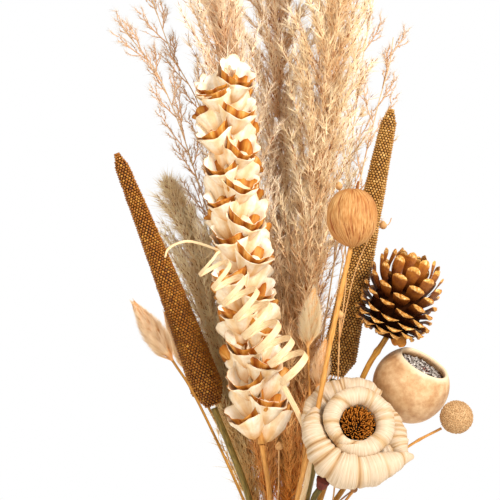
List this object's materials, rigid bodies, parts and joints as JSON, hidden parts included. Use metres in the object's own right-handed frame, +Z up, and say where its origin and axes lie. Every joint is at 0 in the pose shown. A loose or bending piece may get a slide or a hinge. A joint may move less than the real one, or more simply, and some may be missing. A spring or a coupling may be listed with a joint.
{
  "type": "dried pampas grass in vase",
  "caption": "Mixed dried bunch of pampas plumes, reeds, millet, papery bells, a pine cone, a seed cup and a husk rose, standing in a plain stoneware vase.",
  "frame": {"origin": "centre of the vase's flat foot, on the table", "axes": "+Z up out of the vase, -Y towards the front of the bunch, where the rose and the cane curl face, +X to the viewer's right"},
  "size_m": [0.2644, 0.2015, 0.722],
  "materials": {
    "stoneware": "matt",
    "plume_hair": "dull, downy",
    "reed_straw": "dull",
    "millet_brown": "satin grains",
    "millet_pale": "satin grains",
    "millet_stem": "dull",
    "bell_paper": "dry, thin",
    "cane": "satin",
    "tail_down": "downy",
    "nut_shell": "fibrous",
    "cone_scale": "satin, pale tips",
    "cup_shell": "dull",
    "cup_pith": "rough",
    "button_fuzz": "knobbly",
    "husk": "dry, wrinkled",
    "stamen": "dull",
    "bract": "dull",
    "stem_golden": "satin",
    "stem_brown": "satin",
    "stem_olive": "dull",
    "pod_tan": "dull"
  },
  "bodies": {
    "root": {"vase": "stoneware", "pampas_plume_right": "plume_hair", "pampas_plume_middle": "plume_hair", "pampas_plume_left": "plume_hair", "pampas_plume_low_left": "plume_hair", "reed_spray_left_high": "reed_straw", "reed_spray_left_low": "reed_straw", "reed_spray_right_low": "reed_straw", "reed_spray_right_high": "reed_straw", "millet_head_left": "millet_brown", "millet_head_right": "millet_pale", "millet_stem_left": "millet_stem", "millet_stem_right": "millet_stem", "bunny_tail_right": "tail_down", "bunny_tail_right_low": "tail_down", "bunny_tail_left": "tail_down", "bunny_tail_left_back": "tail_down", "bunny_tail_stem_right": "stem_golden", "bunny_tail_stem_right_low": "stem_golden", "bunny_tail_stem_left": "stem_brown", "bunny_tail_stem_left_back": "stem_brown", "bell_spike": "bell_paper", "bell_spike_stem": "stem_golden", "cane_curl": "cane", "ribbed_nut": "nut_shell", "nut_stick": "stem_golden", "pine_cone": "cone_scale", "cone_stick": "stem_brown", "seed_cup": "cup_shell", "cup_pith": "cup_pith", "cup_stick": "stem_brown", "button_flower": "button_fuzz", "button_stem": "stem_golden", "husk_rose": "husk", "rose_stamens": "stamen", "rose_bract": "bract", "rose_stick": "stem_olive", "flax_spray": "pod_tan", "flax_pod_front": "pod_tan", "flax_bud_right": "pod_tan"}
  },
  "joints": []
}
